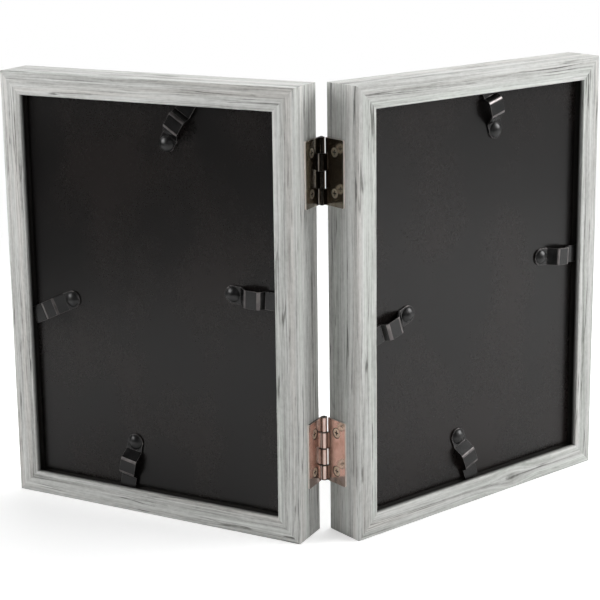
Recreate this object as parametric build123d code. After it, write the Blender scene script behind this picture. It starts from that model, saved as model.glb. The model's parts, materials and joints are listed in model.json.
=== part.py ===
from build123d import *
import os
from math import cos, radians, sin, sqrt

# Hinged double photo frame, standing half open with its hinged back towards -Y.
# Millimetres, +Z up, X across both frames. Left and right are as seen from the back.

# Picture size and the sheets stacked behind the front lip
sheet_width = 127.0
sheet_height = 177.8
sheet_play = 0.8  # between a sheet's edge and the frame's inner wall
glass_thickness = 2.0
picture_thickness = 0.3
board_thickness = 3.0
board_recess = 4.7  # from the frame's back face down to the board

# Moulding section
frame_depth = 20.0
back_width = 10.5
lip_overlap = 5.0
sight_bevel = 2.0
front_edge_radius = 0.5
back_edge_radius = 0.8
inner_edge_radius = 0.5
groove_inset = 2.6  # from the back face to the clip groove, which runs down to the board

# V-nails in the mitres
nail_gauge = 0.4
nail_length = 9.0
nail_cover = 1.0  # wood left round a nail

# Turn clips and their rivets
clip_width = 8.0
clip_thickness = 0.8
clip_foot = 0.6  # from the rivet's head to the start of the ramp
clip_ramp = 4.0
clip_crown = 6.2
clip_crown_height = 4.8
clip_drop = 1.8
clip_bend_radius = 0.9
clip_reach = 23.4  # from the rivet to the tip
tip_clearance = 0.3
rivet_radius = 1.4
rivet_shank_radius = 1.2  # in the board
rivet_head_radius = 3.5
rivet_head_height = 1.8
clip_play = 0.05  # under a clip's foot, and between it and the rivet's head
turning_clearance = 0.06
seat_clearance = 0.02

# Rivet places: a pinwheel near the board's middle. Were it in the middle, a clip set square to its wall would
# reach past the wall by the tip hold
end_tip_hold = 3.8
side_tip_hold = 1.4
end_rivet_shift = 10.8
side_rivet_shift = 6.0
pinwheel_rise = 2.0
pinwheel_shift = -0.6  # to the left

# How far each clip leans from square to its wall, in degrees, anticlockwise seen from the back
clip_lean = {
    "left": {"top": -33, "outer": 25, "hinge": -2, "bottom": -11},
    "right": {"top": 16, "outer": -4, "hinge": 18, "bottom": 21},
}

# Butt hinges
hinge_height = 29.3
lower_hinge_centre = 37.4  # above the bottom of the frame
upper_hinge_centre = 38.2  # below the top of the frame
leaf_width = 11.6  # on the stile's side
leaf_thickness = 0.8
leaf_corner_radius = 0.8
end_knuckle = 7.0
knuckle_gap = 0.2
roll_seam = 0.12
pin_radius = 0.65
pin_clearance = 0.04
pin_forward = 1.9  # from the front of the frames to the pin's axis
pin_end = 0.35  # pin standing out of the end knuckles

# Hinge screws
screw_end_inset = 5.8  # from the end of the leaf
screw_back_inset = 6.0  # from the leaf's long edge
screw_head_radius = 2.1
screw_sink = 0.2  # head below the leaf's face
screw_neck_radius = 1.15
screw_shank_radius = 1.0
screw_length = 9.0
cross_length = 2.3
cross_width = 0.55
cross_depth = 0.4

# Pose that the parts are drawn in: each frame's turn from lying flat open
wing_angle = 33.0

# Sizes that follow from those above
opening_width = sheet_width + 2 * sheet_play
opening_height = sheet_height + 2 * sheet_play
outer_width = opening_width + 2 * back_width
outer_height = opening_height + 2 * back_width
lip_depth = frame_depth - board_recess - board_thickness - picture_thickness - glass_thickness
sight_width = back_width + lip_overlap
groove_cut = max(end_tip_hold + abs(pinwheel_rise), side_tip_hold + abs(pinwheel_shift)) + tip_clearance
board_back = frame_depth - board_recess
knuckle_radius = pin_radius + leaf_thickness
bore_radius = pin_radius + pin_clearance
hinge_centres = {"upper": outer_height - upper_hinge_centre, "lower": lower_hinge_centre}
sides = {"left": -1, "right": 1}

# The origin is under the middle of the standing frame's box
turn = radians(wing_angle)
back_reach = (knuckle_radius + back_edge_radius) * sin(turn) - back_edge_radius
back_reach -= (pin_forward + frame_depth - back_edge_radius) * cos(turn)
front_reach = (knuckle_radius + outer_width - front_edge_radius) * sin(turn) + front_edge_radius
front_reach -= (pin_forward + front_edge_radius) * cos(turn)
pin_y = -(back_reach + front_reach) / 2


def behind_front(depth):
    return -(pin_forward + depth)


def centre_of(side):
    return sides[side] * (knuckle_radius + outer_width / 2)


def stand(shape, side):
    return Pos(0, pin_y, 0) * Rot(0, 0, sides[side] * wing_angle) * shape


def group(shapes):
    return Compound([solid for shape in shapes for solid in shape.solids()])


# One mitred length of moulding along X, with its outer face down
def moulding(length):
    section = make_face(
        Polyline(
            (0, 0),
            (0, frame_depth),
            (back_width, frame_depth),
            (back_width, frame_depth - groove_inset),
            (back_width - groove_cut, frame_depth - groove_inset),
            (back_width - groove_cut, board_back),
            (back_width, board_back),
            (back_width, lip_depth),
            (sight_width, lip_depth),
            (sight_width, sight_bevel),
            (sight_width - sight_bevel, 0),
            close=True,
        )
    )
    corner = section.vertices()
    section = fillet(corner.sort_by_distance((0, 0))[0], front_edge_radius)
    corner = section.vertices()
    section = fillet(corner.sort_by_distance((0, frame_depth))[0], back_edge_radius)
    corner = section.vertices()
    section = fillet(corner.sort_by_distance((back_width, frame_depth))[0], inner_edge_radius)
    across = Plane(origin=(-length / 2, behind_front(0), 0), x_dir=(0, 0, 1), z_dir=(1, 0, 0))
    bar = extrude(across * section, length)
    mitred = make_face(
        Polyline(
            (-length / 2, 0),
            (length / 2, 0),
            (length / 2 - sight_width, sight_width),
            (sight_width - length / 2, sight_width),
            close=True,
        )
    )
    return bar & extrude(Plane.XZ * mitred, 2 * (pin_forward + frame_depth), both=True)


# V-nails stand in the solid wood between the clip groove and the outer faces
def corner_nails(side, clearance=0.0):
    apex = back_width - groove_cut - nail_cover
    leg = apex - nail_cover
    gauge = nail_gauge + 2 * clearance
    legs = Rectangle(leg, gauge, align=(Align.MAX, Align.CENTER))
    legs += Rectangle(gauge, leg, align=(Align.CENTER, Align.MAX))
    nail = extrude(Plane.XZ * legs, nail_length)
    nail = Pos(0, behind_front(frame_depth - nail_cover - nail_length), 0) * nail
    right = outer_width / 2 - apex
    up = outer_height / 2 - apex
    places = [(right, up, 180), (-right, up, 90), (-right, -up, 0), (right, -up, 270)]
    middle = (centre_of(side), 0, outer_height / 2)
    return [Pos(*middle) * Pos(x, 0, z) * Rot(0, angle, 0) * nail for x, z, angle in places]


def sheet(side, front, thickness):
    plate = Box(sheet_width, thickness, sheet_height)
    return Pos(centre_of(side), behind_front(front + thickness / 2), outer_height / 2) * plate


# Rivet places from the middle of a board, each with the turn that squares its clip to the wall
def rivet_places(side):
    right = opening_width / 2 + side_tip_hold - clip_reach
    up = opening_height / 2 + end_tip_hold - clip_reach
    right_wall, left_wall = ("outer", "hinge") if side == "right" else ("hinge", "outer")
    return {
        "top": (pinwheel_shift + end_rivet_shift, pinwheel_rise + up, 90),
        "bottom": (pinwheel_shift - end_rivet_shift, pinwheel_rise - up, 270),
        right_wall: (pinwheel_shift + right, pinwheel_rise + side_rivet_shift, 0),
        left_wall: (pinwheel_shift - right, pinwheel_rise - side_rivet_shift, 180),
    }


def on_board(shape, side, x, z, angle=0.0):
    seat = Pos(centre_of(side) + x, behind_front(board_back), outer_height / 2 + z)
    return seat * Rot(0, -angle, 0) * shape


# Arc of a domed head, from its rim to its top on the axis, rising towards -Y
def dome(radius, rise, rim):
    ball = (radius**2 + rise**2) / (2 * rise)
    way = rim - rise + ball - sqrt(ball**2 - radius**2 / 4)
    return ThreePointArc((radius, rim), (radius / 2, way), (0, rim - rise))


# Shanks that are hidden in a board or stile are eight-sided and point along +Y
def shank(radius, start, end):
    return Pos(0, end, 0) * extrude(Plane.XZ * RegularPolygon(radius, 8), end - start)


# A rivet is driven through the board at y = 0, with its head towards -Y and its end flush
def rivet():
    underside = clip_thickness + 2 * clip_play
    outline = Polyline(
        (0, -underside - rivet_head_height),
        (0, -clip_play),
        (rivet_radius, -clip_play),
        (rivet_radius, -underside),
        (rivet_head_radius, -underside),
    )
    head = dome(rivet_head_radius, rivet_head_height, -underside)
    return revolve(make_face(outline + head), Axis.Y) + shank(rivet_shank_radius, -clip_play, board_thickness)


# A clip lies along +X from its rivet, with its foot over y = 0, the board's back, and is bent up towards -Y
def clip():
    tip_lift = board_recess - groove_inset - tip_clearance - clip_thickness
    crown_lift = clip_crown_height - clip_thickness
    ramp_start = rivet_head_radius + clip_foot
    ramp_top = ramp_start + clip_ramp
    drop_start = ramp_top + clip_crown
    underside = FilletPolyline(
        (-clip_width, -clip_play),
        (ramp_start, -clip_play),
        (ramp_top, -crown_lift),
        (drop_start, -crown_lift),
        (drop_start + clip_drop, -tip_lift),
        (clip_reach + clip_width, -tip_lift),
        radius=clip_bend_radius,
    )
    strip = make_face(offset(underside, clip_thickness, side=Side.RIGHT))
    strip = extrude(strip, clip_width, both=True)
    outline = Circle(clip_width / 2)
    outline += Rectangle(clip_reach + clip_width, clip_width, align=(Align.MIN, Align.CENTER))
    outline -= Circle(rivet_radius + turning_clearance)
    outline &= Circle(clip_reach)
    return strip & extrude(Plane.XZ * outline, 2 * board_recess, both=True)


def backing_board(side):
    board = sheet(side, board_back - board_thickness, board_thickness)
    hole = shank(rivet_shank_radius + seat_clearance, -board_thickness, 2 * board_thickness)
    for x, z, square in rivet_places(side).values():
        board -= on_board(hole, side, x, z)
    return board


# Hinge pieces are drawn for the right frame about the pin, and mirrored for the left
def handed(shape, side):
    return shape if side == "right" else mirror(shape, about=Plane.YZ)


def knuckle_spans(side):
    ends = [0, end_knuckle, hinge_height / 2, hinge_height - end_knuckle, hinge_height]
    first = 0 if side == "left" else 1
    spans = []
    for number in range(first, 4, 2):
        high = ends[number] + (knuckle_gap / 2 if number > 0 else 0)
        low = ends[number + 1] - (knuckle_gap / 2 if number < 3 else 0)
        spans.append((hinge_height / 2 - low, hinge_height / 2 - high))
    return spans


# Taper of a screw's head between two depths below y = 0, the leaf's face, with +Y into the wood
def countersink(start, end, clearance=0.0):
    flare = (screw_head_radius - screw_neck_radius) / (leaf_thickness - screw_sink)
    wide = screw_head_radius + (screw_sink - start) * flare + clearance
    narrow = screw_head_radius + (screw_sink - end) * flare + clearance
    outline = Polyline((0, start), (wide, start), (narrow, end), (0, end), close=True)
    return revolve(make_face(outline), Axis.Y)


def screw():
    body = countersink(screw_sink, leaf_thickness) + shank(screw_shank_radius, leaf_thickness, screw_length)
    cross = Box(cross_length, 2 * cross_depth, cross_width)
    cross += Box(cross_width, 2 * cross_depth, cross_length)
    return body - Pos(0, screw_sink, 0) * cross


def screw_places(shape, side, hinges=("upper", "lower")):
    face = knuckle_radius - leaf_thickness
    reach = behind_front(leaf_width - screw_back_inset)
    lift = hinge_height / 2 - screw_end_inset
    drawn = Pos(face, reach, 0) * Rot(0, 0, -90) * shape
    rows = [hinge_centres[hinge] + way * lift for hinge in hinges for way in (-1, 1)]
    return [handed(Pos(0, 0, row) * drawn, side) for row in rows]


def leaf(side, hinge):
    plate = Rectangle(leaf_width, hinge_height, align=(Align.MAX, Align.CENTER))
    plate = fillet(plate.vertices().group_by(Axis.X)[0], leaf_corner_radius)
    for low, high in knuckle_spans(side):
        tab = Rectangle(pin_forward, high - low, align=(Align.MIN, Align.CENTER))
        plate += Pos(0, (low + high) / 2) * tab
    inner = knuckle_radius - leaf_thickness
    flat = Plane(origin=(inner, behind_front(0), 0), x_dir=(0, 1, 0), z_dir=(1, 0, 0))
    body = extrude(flat * plate, leaf_thickness)
    for low, high in knuckle_spans(side):
        roll = Cylinder(knuckle_radius, high - low)
        body += Pos(0, 0, (low + high) / 2) * roll
    seam = Box(roll_seam, knuckle_radius, hinge_height, align=(Align.MAX, Align.MAX, Align.CENTER))
    body -= Pos(inner, 0, 0) * seam
    body -= Cylinder(bore_radius, 2 * hinge_height)
    body = handed(Pos(0, 0, hinge_centres[hinge]) * body, side)
    sunk = countersink(0, leaf_thickness + screw_sink, seat_clearance)
    for hole in screw_places(sunk, side, (hinge,)):
        body -= hole
    return body


def hinge_pin(hinge):
    return Pos(0, 0, hinge_centres[hinge]) * Cylinder(pin_radius, hinge_height + 2 * pin_end)


def frame_members(side):
    rail = moulding(outer_width)
    stile = moulding(outer_height)
    outward = sides[side]
    half = outer_height / 2
    middle = Pos(centre_of(side), 0, half)
    members = {
        "bottom_rail": middle * Pos(0, 0, -half) * rail,
        "top_rail": middle * Rot(0, 180, 0) * Pos(0, 0, -half) * rail,
        "outer_stile": middle * Rot(0, -90 * outward, 0) * Pos(0, 0, -outer_width / 2) * stile,
        "hinge_stile": middle * Rot(0, 90 * outward, 0) * Pos(0, 0, -outer_width / 2) * stile,
    }
    for pocket in corner_nails(side, seat_clearance):
        for name in members:
            members[name] -= pocket
    bored = shank(screw_shank_radius + seat_clearance, 0, screw_length + seat_clearance)
    for hole in screw_places(bored, side):
        members["hinge_stile"] -= hole
    return members


def wing(side):
    pieces = frame_members(side)
    pieces["corner_nails"] = group(corner_nails(side))
    pieces["glass_pane"] = sheet(side, lip_depth, glass_thickness)
    pieces["picture_sheet"] = sheet(side, lip_depth + glass_thickness, picture_thickness)
    pieces["backing_board"] = backing_board(side)
    places = rivet_places(side)
    pieces["clip_rivets"] = group(on_board(rivet(), side, x, z) for x, z, square in places.values())
    for name, (x, z, square) in places.items():
        pieces[name + "_clip"] = on_board(clip(), side, x, z, square + clip_lean[side][name])
    pieces["hinge_screws"] = group(screw_places(screw(), side))
    return {side + "_" + name: stand(shape, side) for name, shape in pieces.items()}


nodes = {**wing("left"), **wing("right")}
for hinge in hinge_centres:
    for side in sides:
        nodes[hinge + "_hinge_" + side + "_leaf"] = stand(leaf(side, hinge), side)
    nodes[hinge + "_hinge_pin"] = stand(hinge_pin(hinge), "left")

os.makedirs("parts", exist_ok=True)
for name, shape in nodes.items():
    export_step(shape, "parts/" + name + ".step")
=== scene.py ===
import bpy
import json
from math import radians
from mathutils import Matrix, Vector


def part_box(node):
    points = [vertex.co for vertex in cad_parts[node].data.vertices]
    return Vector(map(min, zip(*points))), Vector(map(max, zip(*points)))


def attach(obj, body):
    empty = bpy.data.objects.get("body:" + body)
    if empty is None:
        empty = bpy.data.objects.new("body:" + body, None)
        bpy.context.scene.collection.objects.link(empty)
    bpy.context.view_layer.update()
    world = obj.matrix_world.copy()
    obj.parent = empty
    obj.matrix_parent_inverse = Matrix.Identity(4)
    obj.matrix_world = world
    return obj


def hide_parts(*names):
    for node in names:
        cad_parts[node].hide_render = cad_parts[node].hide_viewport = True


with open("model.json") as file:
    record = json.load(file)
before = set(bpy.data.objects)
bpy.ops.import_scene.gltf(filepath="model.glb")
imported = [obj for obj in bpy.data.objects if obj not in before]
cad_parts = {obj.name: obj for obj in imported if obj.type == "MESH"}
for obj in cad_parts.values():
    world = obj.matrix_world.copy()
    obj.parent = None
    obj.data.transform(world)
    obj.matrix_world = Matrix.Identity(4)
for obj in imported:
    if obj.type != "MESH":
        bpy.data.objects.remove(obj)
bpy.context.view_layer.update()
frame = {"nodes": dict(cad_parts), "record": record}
print("stage 1: frame loaded,", len(frame["nodes"]), "nodes")

mm = 0.001
noiseMiddle = 0.5  # what a noise swings about
wingTurn = {"left": -33, "right": 33}  # degrees, as the frame stands
bodyOf = {node: body for body, nodes in frame["record"]["behaviour"]["bodies"].items() for node in nodes}


# A socket that adds its own Math nodes
class Wire:
    def __init__(self, look, socket):
        self.look = look
        self.socket = socket

    def maths(self, operation, first, second):
        return self.look.add("Math", {"operation": operation}, {0: first, 1: second})

    def __add__(self, other):
        return self.maths("ADD", self, other)

    def __radd__(self, other):
        return self.maths("ADD", other, self)

    def __sub__(self, other):
        return self.maths("SUBTRACT", self, other)

    def __rsub__(self, other):
        return self.maths("SUBTRACT", other, self)

    def __mul__(self, other):
        return self.maths("MULTIPLY", self, other)

    def __rmul__(self, other):
        return self.maths("MULTIPLY", other, self)


# A node tree that is built from plain calls
class Look:
    def __init__(self, owner):
        owner.use_nodes = True
        self.owner = owner
        self.tree = owner.node_tree
        self.tree.nodes.clear()

    def add(self, kind, settings=None, sockets=None, out=0):
        node = self.tree.nodes.new("ShaderNode" + kind)
        for name, value in (settings or {}).items():
            if name == "stops":
                ramp = node.color_ramp.elements
                while len(ramp) < len(value):
                    ramp.new(1)
                for stop, (place, colour) in zip(ramp, value):
                    stop.position = place
                    stop.color = (*colour, 1)
            else:
                setattr(node, name, value)
        for name, value in (sockets or {}).items():
            if isinstance(value, Wire):
                self.tree.links.new(value.socket, node.inputs[name])
            elif hasattr(value, "__len__") and len(value) == 3 and node.inputs[name].type == "RGBA":
                node.inputs[name].default_value = (*value, 1)
            else:
                node.inputs[name].default_value = value
        return Wire(self, node.outputs[out]) if node.outputs else None

    def place(self, turn=0, shift=(0, 0, 0)):  # Object coordinates, turned about the upright
        spot = self.add("TexCoord", out="Object")
        return self.add("Mapping", {}, {"Vector": spot, "Rotation": (0, 0, radians(turn)), "Location": shift})

    def noise(self, spot, size, detail=2.0, roughness=0.5, out=0):  # size is one cell, in mm
        cells = tuple(1 / (length * mm) for length in size)
        spot = self.vector("MULTIPLY", spot, cells)
        values = {"Vector": spot, "Scale": 1.0, "Detail": detail, "Roughness": roughness}
        return self.add("TexNoise", {}, values, out)

    def vector(self, operation, first, second, third=(0, 0, 0)):
        return self.add("VectorMath", {"operation": operation}, {0: first, 1: second, 2: third})

    def length(self, spot):
        return self.add("VectorMath", {"operation": "LENGTH"}, {0: spot}, "Value")

    def part(self, spot, axis):  # X, Y or Z of a vector
        return self.add("SeparateXYZ", {}, {0: spot}, axis)

    def size(self, value):  # without its sign
        return self.add("Math", {"operation": "ABSOLUTE"}, {0: value})

    def step(self, value, low, high, start=0.0, end=1.0):
        values = {0: value, 1: low, 2: high, 3: start, 4: end}
        return self.add("MapRange", {"interpolation_type": "SMOOTHSTEP"}, values)

    def blend(self, share, first, second, way="MIX"):
        return self.add("Mix", {"data_type": "RGBA", "blend_type": way}, {0: share, 6: first, 7: second}, 2)

    def ramp(self, value, stops):
        return self.add("ValToRGB", {"stops": stops}, {"Fac": value})

    def bump(self, height, strength, depth):  # depth in mm
        return self.add("Bump", {}, {"Height": height, "Strength": strength, "Distance": depth * mm})

    def surface(self, sockets):
        self.output(self.add("BsdfPrincipled", {}, sockets))
        return self.owner

    def output(self, shader, kind="OutputMaterial"):
        self.add(kind, {}, {"Surface": shader})


def freshLook(name):
    return Look(bpy.data.materials.new(name))


# A start value, moved by a share of each named layer
def weigh(start, shares, layers):
    for name, share in shares.items():
        start = start + share * layers[name]
    return start


# The same, where each layer is a noise
def swing(start, shares, layers):
    for name, share in shares.items():
        start = start + share * (layers[name] - noiseMiddle)
    return start


# Grey wood-grain wrap of the mouldings, with bare blackened fibreboard below the lip of the back opening, and
# painted shade that darkens the wrap and the inner wall into the recess
wrapSettings = {
    "drift": [(1.1, (38, 9)), (0.3, (11, 3))],  # mm sideways, and its cell in mm along and across
    "grain": {  # cell in mm along and across, noise detail and roughness
        "fibre": ((34, 0.5), 3.0, 0.65),
        "streak": ((120, 1.6), 3.0, 0.6),
        "band": ((190, 4.5), 1.0, 0.5),
        "dash": ((26, 4.0), 2.0, 0.5),
        "mottle": ((2.6, 1.3), 3.0, 0.6),
        "crack": ((120, 3.2), 2.0, 0.5),
        "pore": ((3.2, 0.4), 1.0, 0.5),
    },
    "crackEdge": (0.47, 0.495),  # noise values where a mark starts and where it is full
    "dashEdge": (0.46, 0.6),
    "poreEdge": (0.36, 0.26),
    "middleTone": 0.55,
    "tone": {"fibre": 1.0, "streak": 0.85, "band": 0.5, "mottle": 0.3},
    "marks": {"crack": -0.4, "pore": -0.1, "knot": -0.3},
    "tones": [
        (0.0, (0.10, 0.10, 0.092)),
        (0.28, (0.31, 0.312, 0.295)),
        (0.5, (0.505, 0.508, 0.49)),
        (0.72, (0.655, 0.66, 0.64)),
        (1.0, (0.78, 0.785, 0.765)),
    ],
    "greenTint": (0.975, 1.0, 0.98),
    "greenEdge": (0.5, 0.68),
    "pinkTint": (1.0, 0.975, 0.965),
    "pinkEdge": (0.48, 0.32),
    "roughness": 0.62,
    "roughen": {"fibre": -0.12, "crack": 0.1, "bareBoardAndShade": 0.2},
    "index": 1.45,
    "relief": {"fibre": 0.6, "streak": 0.4, "crack": -0.9, "pore": -0.4},
    "reliefStrength": 0.3,
    "reliefDepth": 0.12,  # mm
    "seedShift": (0.171, 0.093, 0.137),  # m, from one member's pattern to the next
    # colour of the bare fibreboard, which also stands for the painted shade in the recess
    "bareBoardAndShade": (0.011, 0.0095, 0.0075),
    "wrapShadeFade": (0.3, 2.6),  # mm below the back face, where painted shade starts to darken the wrap and where the wrap ends
    "bareAndShadeEnd": (9.5, 9.0),
    "skin": (1.2, 1.5),  # mm, what counts as the outer face
    "knots": {"right_bottom_rail": (19.7, 5.8)},  # mm along from the rail's middle, and up from its foot
    "knotShape": (0.55, 0, 1),
    "knotSize": (2.4, 0.5),  # mm, edge and heart
    "knotFlow": (11.0, 1.5),  # mm, how far the grain bends around it
    "knotBend": -0.75,
}


def inMm(pair):
    return [value * mm for value in pair]


def woodWrap(node, turn, upright, seed):
    look = freshLook("wrap_" + node)
    s = wrapSettings

    def cell(along, across):  # grain runs along the member
        return (across, across, along) if upright else (along, across, across)

    spot = look.place(-turn, tuple(length * seed for length in s["seedShift"]))
    layers = {"knot": 0.0}
    if node in s["knots"]:
        spot, layers["knot"] = aroundKnot(look, node, turn, spot)
    for reach, size in s["drift"]:
        way = cell(0, reach * mm)
        spot = look.vector("MULTIPLY_ADD", look.noise(spot, cell(*size), out=1), way, spot)
    for name, (size, detail, roughness) in s["grain"].items():
        layers[name] = look.noise(spot, cell(*size), detail, roughness)
    line = layers["crack"]
    line = look.step(line, *s["crackEdge"]) * look.step(1 - line, *s["crackEdge"])
    layers["crack"] = line * look.step(layers["dash"], *s["dashEdge"])
    layers["pore"] = look.step(layers["pore"], *s["poreEdge"])
    # share of bare board and of painted shade that darkens the wrap into the recess
    layers["bareBoardAndShade"] = bareAndShadeShare(look, node, turn, upright)
    tone = swing(s["middleTone"], s["tone"], layers)
    colour = look.ramp(weigh(tone, s["marks"], layers), s["tones"])
    bandSize, bandDetail, bandRoughness = s["grain"]["band"]
    tint = look.part(look.noise(spot, cell(*bandSize), bandDetail, bandRoughness, 1), "Y")
    colour = look.blend(look.step(tint, *s["greenEdge"]), colour, s["greenTint"], "MULTIPLY")
    colour = look.blend(look.step(tint, *s["pinkEdge"]), colour, s["pinkTint"], "MULTIPLY")
    return look.surface({
        "Base Color": look.blend(layers["bareBoardAndShade"], colour, s["bareBoardAndShade"]),
        "Roughness": weigh(s["roughness"], s["roughen"], layers),
        "IOR": s["index"],
        "Normal": look.bump(weigh(0.0, s["relief"], layers), s["reliefStrength"], s["reliefDepth"]),
    })


# Corners of a member, turned square to the axes
def squareCorners(node, turn):
    flat = Matrix.Rotation(radians(-turn), 3, "Z")
    return [flat @ vertex.co for vertex in frame["nodes"][node].data.vertices]


# Grain that parts around a knot in a rail, and the knot's own share
def aroundKnot(look, node, turn, spot):
    s = wrapSettings
    along, up = s["knots"][node]
    corners = squareCorners(node, turn)
    middle = (min(c.x for c in corners) + max(c.x for c in corners)) / 2
    heart = (middle + along * mm, 0, min(c.z for c in corners) + up * mm)
    gap = look.vector("SUBTRACT", look.place(-turn), heart)
    gap = look.vector("MULTIPLY", gap, s["knotShape"])
    away = look.length(gap)
    bend = s["knotBend"] * look.step(away, *inMm(s["knotFlow"]))
    lift = look.add("CombineXYZ", {}, {2: look.part(gap, "Z") * bend})
    return look.vector("ADD", spot, lift), look.step(away, *inMm(s["knotSize"]))


# Share of bare board and painted shade: the inner wall under the wrap, away from the member's outer face,
# darkening from just below the back face
def bareAndShadeShare(look, node, turn, upright):
    s = wrapSettings
    corners = squareCorners(node, turn)
    axis = "X" if upright else "Z"
    across = [corner.x if upright else corner.z for corner in corners]
    isLow = node.endswith("bottom_rail") or node in ("left_outer_stile", "right_hinge_stile")
    spot = look.place(-turn)
    depth = look.part(spot, "Y") - min(corner.y for corner in corners)
    inward = look.part(spot, axis)
    inward = inward - min(across) if isLow else max(across) - inward
    share = look.step(depth, *inMm(s["wrapShadeFade"])) * look.step(depth, *inMm(s["bareAndShadeEnd"]))
    return share * look.step(inward, *inMm(s["skin"]))


# Black backing boards: coated hardboard with a soft sheen
boardSettings = {
    "colour": (0.0056, 0.0049, 0.0046),
    "worn": (0.0115, 0.0084, 0.0076),
    "wornEdge": (0.35, 0.7),
    "fleck": (0.022, 0.0205, 0.0195),
    "fleckEdge": (0.66, 0.76),
    "fleckShare": 0.2,
    "cloudCell": (45, 45, 60),  # mm
    "toothCell": (0.7, 0.7, 0.9),
    "fleckCell": (1.6, 1.6, 2.2),
    "roughness": 0.27,
    "roughen": {"cloud": 0.08, "tooth": 0.04},
    "index": 1.45,
    "toothStrength": 0.06,
    "toothDepth": 0.03,  # mm
}


def blackBoard(name, turn):
    look = freshLook(name)
    s = boardSettings
    spot = look.place(-turn)
    layers = {"cloud": look.noise(spot, s["cloudCell"], 3.0), "tooth": look.noise(spot, s["toothCell"])}
    fleck = look.step(look.noise(spot, s["fleckCell"]), *s["fleckEdge"])
    colour = look.blend(look.step(layers["cloud"], *s["wornEdge"]), s["colour"], s["worn"])
    colour = look.blend(fleck * s["fleckShare"], colour, s["fleck"])
    return look.surface({
        "Base Color": colour,
        "Roughness": swing(s["roughness"], s["roughen"], layers),
        "IOR": s["index"],
        "Normal": look.bump(layers["tooth"], s["toothStrength"], s["toothDepth"]),
    })


# Black lacquered steel of the clips and rivets
lacquerSettings = {
    "finishes": {
        "sheet": {
            "colour": (0.003, 0.0028, 0.0028),
            "rubbed": (0.008, 0.0075, 0.0075),
            "roughness": 0.2,
            "metal": 0.0,
        },
        "dome": {
            "colour": (0.004, 0.0038, 0.0038),
            "rubbed": (0.010, 0.0095, 0.0095),
            "roughness": 0.33,
            "metal": 0.0,
        },
        "edge": {
            "colour": (0.16, 0.147, 0.145),
            "rubbed": (0.26, 0.24, 0.235),
            "roughness": 0.3,
            "metal": 1.0,
        },
    },
    "rubbedEdge": (0.42, 0.72),
    "cloudCell": (4, 4, 4),  # mm
    "peelCell": (0.6, 0.6, 0.6),
    "roughen": {"cloud": 0.16, "peel": 0.1},
    "index": 1.55,
    "peelStrength": 0.1,
    "peelDepth": 0.04,  # mm
}


def blackLacquer(name):
    look = freshLook("lacquer_" + name)
    s = lacquerSettings
    finish = s["finishes"][name]
    spot = look.place()
    layers = {"cloud": look.noise(spot, s["cloudCell"], 3.0), "peel": look.noise(spot, s["peelCell"])}
    rubbed = look.step(layers["cloud"], *s["rubbedEdge"])
    return look.surface({
        "Base Color": look.blend(rubbed, finish["colour"], finish["rubbed"]),
        "Metallic": finish["metal"],
        "Roughness": swing(finish["roughness"], s["roughen"], layers),
        "IOR": s["index"],
        "Normal": look.bump(layers["peel"], s["peelStrength"], s["peelDepth"]),
    })


# Copper-plated hinges: painted shade in the recesses and beside the knuckles, and pale worn edges that also
# serve as a painted highlight
platingSettings = {
    "finishes": {
        "copper": {
            "colour": (0.76, 0.59, 0.53),
            "deep": (0.58, 0.41, 0.345),
            "olive": (0.40, 0.30, 0.20),
            "roughness": 0.16,
            "metal": 1.0,
        },
        # a darker copy of the copper: painted shade standing in for the dark reflections on the upper hinge
        "bronze": {
            "colour": (0.40, 0.355, 0.295),
            "deep": (0.31, 0.25, 0.185),
            "olive": (0.26, 0.23, 0.16),
            "roughness": 0.14,
            "metal": 1.0,
        },
        # pale worn copper for the leaf's edges, also a painted highlight
        "worn": {
            "colour": (0.98, 0.91, 0.86),
            "deep": (0.88, 0.77, 0.70),
            "olive": (0.72, 0.64, 0.50),
            "roughness": 0.45,
            "metal": 0.3,
        },
        "brass": {
            "colour": (0.92, 0.87, 0.77),
            "deep": (0.76, 0.67, 0.53),
            "olive": (0.56, 0.49, 0.35),
            "roughness": 0.34,
            "metal": 1.0,
        },
        # near-black copper: painted shade in the knuckle gaps, countersinks and screw crosses
        "recess": {
            "colour": (0.045, 0.036, 0.028),
            "deep": (0.03, 0.024, 0.018),
            "olive": (0.05, 0.042, 0.028),
            "roughness": 0.5,
            "metal": 1.0,
        },
    },
    "cloudCell": (3.2, 3.2, 4.5),  # mm
    "rolledCell": (0.25, 0.25, 9),
    "blotCell": (2.4, 2.4, 3.0),
    "deepEdge": (0.42, 0.7),
    "deepShare": 0.6,
    "oliveEdge": (0.6, 0.75),
    "oliveShare": 0.45,
    "roughen": {"cloud": 0.1, "rolled": 0.08, "blot": 0.08},
    "rolledStrength": 0.12,
    "rolledDepth": 0.03,  # mm
    "barrel": (1.8, 2.1),  # mm from the pin's axis, where a knuckle ends and the leaf starts
    "root": (4.8, 2.1),  # mm from the pin's axis, where painted shade darkens the leaf towards the knuckles
    "flank": (0.95, 1.5),  # mm beside the pin's axis, where painted shade darkens a knuckle
    "shade": (0.13, 0.09, 0.065),
    "shadeShare": 0.8,
    "seam": (0.55, 0.25),  # mm from a knuckle's end, the band of painted shade at the seam
    "seamLift": 0.1,
    "endFace": 0.9,  # how level a knuckle's end is
    "endApart": 0.6,  # mm, ends that are nearer count as one
}


def pinAxis():
    low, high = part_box("lower_hinge_pin")
    return Vector(((low.x + high.x) / 2, (low.y + high.y) / 2, 0))


# Heights of the knuckles' ends on both hinges
def knuckleEnds():
    s = platingSettings
    axis = pinAxis()
    found = []
    for node, piece in frame["nodes"].items():
        if node.endswith("leaf"):
            for face in piece.data.polygons:
                away = (face.center - axis).xy.length
                if abs(face.normal.z) > s["endFace"] and away < s["barrel"][1] * mm:
                    found.append(face.center.z)
    found.sort()
    return [z for z, before in zip(found, [0.0] + found) if z - before > s["endApart"] * mm]
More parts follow.
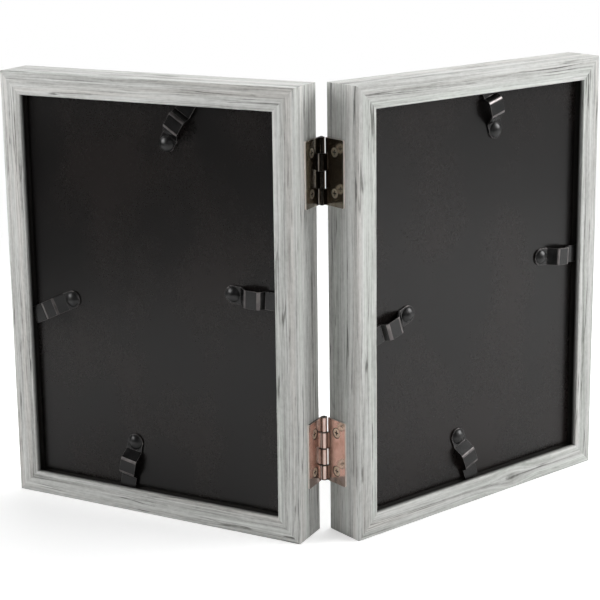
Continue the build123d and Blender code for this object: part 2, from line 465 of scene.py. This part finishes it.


# Shares of the painted shade beside the knuckles and at the seams between them
def hingeShade(look, spot):
    s = platingSettings
    fromPin = look.vector("MULTIPLY", look.vector("SUBTRACT", spot, pinAxis()), (1, 1, 0))
    away = look.length(fromPin)
    aside = look.size(look.part(fromPin, "X"))
    onLeaf = look.step(away, *inMm(s["barrel"]))
    onKnuckle = 1 - onLeaf
    shade = onLeaf * look.step(away, *inMm(s["root"])) + onKnuckle * look.step(aside, *inMm(s["flank"]))
    height = look.part(spot, "Z")
    seam = 0.0
    for end in knuckleEnds():
        offset = look.size(height - (end + s["seamLift"] * mm))
        seam = seam + look.step(offset, *inMm(s["seam"]))
    return shade, onKnuckle * seam


def plated(name):
    look = freshLook(name + "_plate")
    s = platingSettings
    finish = s["finishes"][name]
    spot = look.place()
    layers = {
        "cloud": look.noise(spot, s["cloudCell"], 3.0),
        "rolled": look.noise(spot, s["rolledCell"]),
        "blot": look.noise(spot, s["blotCell"], 3.0, 0.6),
    }
    deep = look.step(layers["cloud"], *s["deepEdge"]) * s["deepShare"]
    olive = look.step(layers["blot"], *s["oliveEdge"]) * s["oliveShare"]
    shade, seam = hingeShade(look, spot)
    colour = look.blend(deep, finish["colour"], finish["deep"])
    colour = look.blend(olive, colour, finish["olive"])
    # painted shade beside the knuckles and at their seams
    colour = look.blend(shade * s["shadeShare"], colour, s["shade"])
    colour = look.blend(seam, colour, s["finishes"]["recess"]["colour"])
    return look.surface({
        "Base Color": colour,
        "Metallic": finish["metal"],
        "Roughness": swing(finish["roughness"], s["roughen"], layers),
        "Normal": look.bump(layers["rolled"], s["rolledStrength"], s["rolledDepth"]),
    })


# Steel of the corner nails
nailSettings = {
    "grainCell": (0.4, 6, 0.4),  # mm
    "tones": [(0.3, (0.30, 0.30, 0.31)), (0.7, (0.50, 0.50, 0.51))],
    "roughness": 0.3,
    "roughen": {"grain": 0.2},
}


def nailSteel(name):
    look = freshLook(name)
    s = nailSettings
    layers = {"grain": look.noise(look.place(), s["grainCell"])}
    return look.surface({
        "Base Color": look.ramp(layers["grain"], s["tones"]),
        "Metallic": 1.0,
        "Roughness": weigh(s["roughness"], s["roughen"], layers),
    })


# Float glass: lamps shine through it
glassSettings = {
    "colour": (0.985, 0.995, 0.99),
    "through": (0.97, 0.985, 0.975),
    "smearCell": (30, 30, 40),  # mm
    "roughness": 0.01,
    "roughen": {"smear": 0.02},
    "index": 1.5,
}


def clearGlass(name):
    look = freshLook(name)
    s = glassSettings
    layers = {"smear": look.noise(look.place(), s["smearCell"])}
    pane = look.add("BsdfPrincipled", {}, {
        "Base Color": s["colour"],
        "Roughness": weigh(s["roughness"], s["roughen"], layers),
        "IOR": s["index"],
        "Transmission Weight": 1.0,
    })
    clear = look.add("BsdfTransparent", {}, {"Color": s["through"]})
    shadow = look.add("LightPath", out="Is Shadow Ray")
    look.output(look.add("MixShader", {}, {0: shadow, 1: pane, 2: clear}))
    return look.owner


# Blank picture paper
paperSettings = {
    "pulpCell": (0.5, 0.5, 0.7),  # mm
    "cloudCell": (9, 9, 9),
    "tone": {"pulp": 0.5, "cloud": 0.5},
    "tones": [(0.3, (0.74, 0.73, 0.70)), (0.7, (0.82, 0.81, 0.78))],
    "roughness": 0.72,
    "roughen": {"pulp": 0.1},
    "pulpStrength": 0.15,
    "pulpDepth": 0.05,  # mm
}


def picturePaper(name, turn):
    look = freshLook(name)
    s = paperSettings
    spot = look.place(-turn)
    layers = {"pulp": look.noise(spot, s["pulpCell"], 4.0, 0.6), "cloud": look.noise(spot, s["cloudCell"])}
    return look.surface({
        "Base Color": look.ramp(weigh(0.0, s["tone"], layers), s["tones"]),
        "Roughness": swing(s["roughness"], s["roughen"], layers),
        "Normal": look.bump(layers["pulp"], s["pulpStrength"], s["pulpDepth"]),
    })


def paint(piece, *materials):
    piece.data.materials.clear()
    for material in materials:
        piece.data.materials.append(material)


def dressWood():
    seed = 0
    for side, turn in wingTurn.items():
        for part in ("top_rail", "bottom_rail", "outer_stile", "hinge_stile"):
            seed += 1
            node = side + "_" + part
            paint(frame["nodes"][node], woodWrap(node, turn, "stile" in part, seed))


def dressSheets():
    glass = clearGlass("float_glass")
    steel = nailSteel("nail_steel")
    for side, turn in wingTurn.items():
        paint(frame["nodes"][side + "_backing_board"], blackBoard("board_" + side, turn))
        paint(frame["nodes"][side + "_picture_sheet"], picturePaper("paper_" + side, turn))
        paint(frame["nodes"][side + "_glass_pane"], glass)
        paint(frame["nodes"][side + "_corner_nails"], steel)


dressWood()
dressSheets()
print("stage 2: wood, boards, glass and paper dressed")


# Metal pieces get copies with broken edges and smooth rounds
edgeSettings = {
    "pieces": {  # edge in mm
        "clip": {"edge": 0.28, "slot": "black_metal"},
        "rivets": {"edge": 0.2, "slot": "black_metal"},
        "leaf": {"edge": 0.36, "slot": "hinge_copper"},
        "pin": {"edge": 0.12, "slot": "hinge_copper"},
        "screws": {"edge": 0.07, "slot": "hinge_copper"},
    },
    "segments": 3,
    "weld": 0.002,  # mm, corners that are nearer become one
    "flat": 0.5,  # degrees, faces that are evener become one
    "sharp": 40,  # degrees, edges from here on are broken
    "round": 60,  # degrees, edges up to here are shaded smooth
}


def workOn(piece):
    bpy.ops.object.select_all(action="DESELECT")
    piece.select_set(True)
    bpy.context.view_layer.objects.active = piece


def finerCopy(node, kind, materials, edgeSlot=-1):
    s = edgeSettings
    piece = bpy.data.objects.new(node + "_finished", frame["nodes"][node].data.copy())
    bpy.context.scene.collection.objects.link(piece)
    paint(piece, *materials)
    workOn(piece)
    bpy.ops.object.mode_set(mode="EDIT")
    bpy.ops.mesh.select_all(action="SELECT")
    bpy.ops.mesh.remove_doubles(threshold=s["weld"] * mm)
    bpy.ops.mesh.dissolve_limited(angle_limit=radians(s["flat"]))
    bpy.ops.object.mode_set(mode="OBJECT")
    bevel = piece.modifiers.new("broken_edges", "BEVEL")
    bevel.width = s["pieces"][kind]["edge"] * mm
    bevel.segments = s["segments"]
    bevel.limit_method = "ANGLE"
    bevel.angle_limit = radians(s["sharp"])
    bevel.material = edgeSlot
    bpy.ops.object.modifier_apply(modifier=bevel.name)
    bpy.ops.object.shade_smooth_by_angle(angle=radians(s["round"]))
    evened = piece.modifiers.new("even_flats", "WEIGHTED_NORMAL")
    evened.keep_sharp = True
    bpy.ops.object.modifier_apply(modifier=evened.name)
    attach(piece, bodyOf[node])
    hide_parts(node)
    return piece


# Which faces of the metal show wear, painted highlight or painted shade: each piece's first material is its
# plain finish
wearAndPaintedLightSettings = {
    "clipBend": 4,  # square mm, smaller faces are bends and edges
    "leafEnd": 0.3,  # mm from the leaf's top and foot
    "leafEdge": 0.6,  # mm from its far edge
    "leafFlat": 0.97,  # how squarely a face looks outward
    "knuckleEnd": 0.35,
    "headFlat": 0.9,
    "headDepth": 0.15,  # mm
}


def ageClip(clip):  # lacquer rubbed off the bends and edges
    for face in clip.data.polygons:
        if face.area < wearAndPaintedLightSettings["clipBend"] * mm * mm:
            face.material_index = 1


# The way that a wing's hinge side looks
def hingeSide(node):
    turn = wingTurn["left" if "left" in node else "right"]
    return Matrix.Rotation(radians(turn), 3, "Z") @ Vector((1 if "left" in node else -1, 0, 0))


def paintLeafWearAndShade(leaf, node):  # pale outline of worn copper that is also a painted highlight, painted shade on the knuckle ends and screw holes
    s = wearAndPaintedLightSettings
    outward = hingeSide(node)
    axis = pinAxis()
    barrel = platingSettings["barrel"][1] * mm
    corners = [vertex.co for vertex in leaf.data.vertices]
    low, high = min(c.z for c in corners), max(c.z for c in corners)
    reach = max((c - axis).xy.length for c in corners)
    for face in leaf.data.polygons:
        away = (face.center - axis).xy.length
        atEnd = min(face.center.z - low, high - face.center.z) < s["leafEnd"] * mm
        if away < barrel:
            face.material_index = 2 if abs(face.normal.z) > s["knuckleEnd"] else 0
        elif abs(face.normal.dot(outward)) < s["leafFlat"]:
            face.material_index = 1 if atEnd or away > reach - s["leafEdge"] * mm else 2


def shadeScrewRecesses(screws, node):  # bright brass heads, painted shade in the crosses and rims
    s = wearAndPaintedLightSettings
    outward = hingeSide(node)
    top = max(vertex.co.dot(outward) for vertex in screws.data.vertices)
    for face in screws.data.polygons:
        isFlat = face.normal.dot(outward) > s["headFlat"]
        isHigh = face.center.dot(outward) > top - s["headDepth"] * mm
        face.material_index = 0 if isFlat and isHigh else 1


def dressMetal():
    sheet, dome, edge = [blackLacquer(name) for name in lacquerSettings["finishes"]]
    copper, bronze, worn, brass, recess = [plated(name) for name in platingSettings["finishes"]]
    for node in frame["nodes"]:
        kind = node.rsplit("_", 1)[-1]
        # painted shade: the upper hinge takes the darker copy of the copper
        plate = bronze if node.startswith("upper") else copper
        if kind == "clip":
            ageClip(finerCopy(node, kind, [sheet, edge], 1))
        elif kind == "rivets":
            finerCopy(node, kind, [dome])
        elif kind == "pin":
            finerCopy(node, kind, [plate])
        elif kind == "leaf":
            paintLeafWearAndShade(finerCopy(node, kind, [plate, worn, recess]), node)
        elif kind == "screws":
            shadeScrewRecesses(finerCopy(node, kind, [brass, recess]), node)


dressMetal()
print("stage 3: clips, rivets and hinges finished")


# Pale floor that turns into plain white away from the frame
floorSettings = {
    "size": 8.0,
    "colour": (0.86, 0.86, 0.86),
    "lift": 0.46,
    "fade": (0.24, 0.6),  # m from the frame
}
white = (1, 1, 1)


# Only the camera's own rays see the white backdrop, so it lights nothing
def seenWhite(look):
    return look.add("LightPath", out="Is Camera Ray")


def layFloor():
    s = floorSettings
    bpy.ops.object.select_all(action="DESELECT")
    bpy.ops.mesh.primitive_plane_add(size=s["size"], location=(0, 0, 0))
    floor = bpy.context.active_object
    floor.name = "floor"
    look = freshLook("floor_white")
    seen = seenWhite(look)
    matt = look.add("BsdfDiffuse", {}, {"Color": s["colour"]})
    glow = look.add("Emission", {}, {"Color": white, "Strength": seen * s["lift"]})
    near = look.add("AddShader", {}, {0: matt, 1: glow})
    plain = look.add("Emission", {}, {"Color": white, "Strength": 1.0})
    far = look.step(look.length(look.place()), *s["fade"]) * seen
    look.output(look.add("MixShader", {}, {0: far, 1: near, 2: plain}))
    paint(floor, look.owner)


# Upright cards that only reflections see: place and size in m, glow at the foot and from the rise up
flagSettings = {
    "frontLow": {"place": (0.0, -0.45), "size": (1.6, 0.2), "turn": 0, "glow": (0.02, 0.01), "rise": 0.1},
    "leftLow": {"place": (-0.42, -0.2), "size": (1.2, 0.2), "turn": 90, "glow": (0.24, 0.02), "rise": 0.12},
    "rightLow": {"place": (0.65, -0.2), "size": (1.2, 0.2), "turn": 90, "glow": (0.74, 0.36), "rise": 0.2},
    "front": {"place": (0.0, -1.6), "size": (3.2, 2.4), "turn": 0, "glow": (0.03, 0.03), "rise": 1.0},
    "left": {"place": (-1.6, 0.0), "size": (3.2, 2.4), "turn": 90, "glow": (0.03, 0.03), "rise": 1.0},
    "right": {"place": (1.6, 0.0), "size": (3.2, 2.4), "turn": 90, "glow": (0.2, 0.1), "rise": 1.0},
}


def standFlag(name, s):
    wide, high = s["size"]
    bpy.ops.object.select_all(action="DESELECT")
    bpy.ops.mesh.primitive_plane_add(size=1, location=(*s["place"], high / 2))
    flag = bpy.context.active_object
    flag.name = name + "_flag"
    flag.scale = (wide, high, 1)
    flag.rotation_euler = (radians(90), 0, radians(s["turn"]))
    flag.visible_camera = False
    flag.visible_diffuse = False
    flag.visible_shadow = False
    flag.visible_transmission = False
    look = freshLook(name + "_flag_cloth")
    height = (look.part(look.place(), "Y") + 0.5) * high  # its own upright runs from -0.5 to 0.5
    shade = look.step(height, 0.0, s["rise"], *s["glow"])
    look.output(look.add("Emission", {}, {"Color": white, "Strength": shade}))
    paint(flag, look.owner)


# Soft square lamps: place and size in m, power in W
lampSettings = {
    "overBack": {"place": (0.35, 0.42, 0.98), "size": 0.4, "power": 4.2},
    "rightSide": {"place": (1.1, -0.15, 0.75), "size": 0.8, "power": 13.4},
    "leftSide": {"place": (-1.1, -0.1, 0.5), "size": 0.8, "power": 9.9},
    "rightFront": {"place": (0.8, -0.85, 0.8), "size": 0.8, "power": 2.0},
    "frontLow": {"place": (0.0, -1.2, 0.4), "size": 0.6, "power": 0.8},
    "frontFill": {"place": (0.0, 1.2, 0.7), "size": 0.9, "power": 4.5},
}
lampAim = Vector((0, 0, 0.1))  # the middle of the frame
worldLight = 0.06


def hangLamp(name, s):
    data = bpy.data.lights.new(name, "AREA")
    data.size = s["size"]
    data.energy = s["power"]
    lamp = bpy.data.objects.new(name, data)
    bpy.context.scene.collection.objects.link(lamp)
    lamp.location = s["place"]
    lamp.rotation_euler = (lampAim - lamp.location).to_track_quat("-Z", "Y").to_euler()


def lightWorld():
    world = bpy.data.worlds.new("studio")
    bpy.context.scene.world = world
    look = Look(world)
    strength = worldLight + (1 - worldLight) * seenWhite(look)
    look.output(look.add("Background", {}, {"Color": white, "Strength": strength}), "OutputWorld")


layFloor()
for name, settings in flagSettings.items():
    standFlag(name, settings)
for name, settings in lampSettings.items():
    hangLamp(name, settings)
lightWorld()
bpy.context.scene.view_settings.view_transform = "Standard"
print("stage 4: floor and lamps set")


# Camera where the photograph was taken from, measured from the foot of the hinge
cameraSettings = {
    "fromHinge": (-75.8, -671.3, 292.7),  # mm
    "lens": 96.97,
    "pitch": 12.315,  # degrees down
    "yaw": -5.643,
    "roll": -0.713,
    "shiftY": -0.15,
}


def setCamera():
    s = cameraSettings
    data = bpy.data.cameras.new("camera")
    data.lens = s["lens"]
    data.shift_y = s["shiftY"]
    camera = bpy.data.objects.new("camera", data)
    bpy.context.scene.collection.objects.link(camera)
    camera.location = pinAxis() + Vector(s["fromHinge"]) * mm
    turn = Matrix.Rotation(radians(s["yaw"]), 3, "Z")
    turn = turn @ Matrix.Rotation(radians(90 - s["pitch"]), 3, "X")
    turn = turn @ Matrix.Rotation(radians(s["roll"]), 3, "Z")
    camera.rotation_euler = turn.to_euler()
    bpy.context.scene.camera = camera


setCamera()
print("stage 5: camera set")
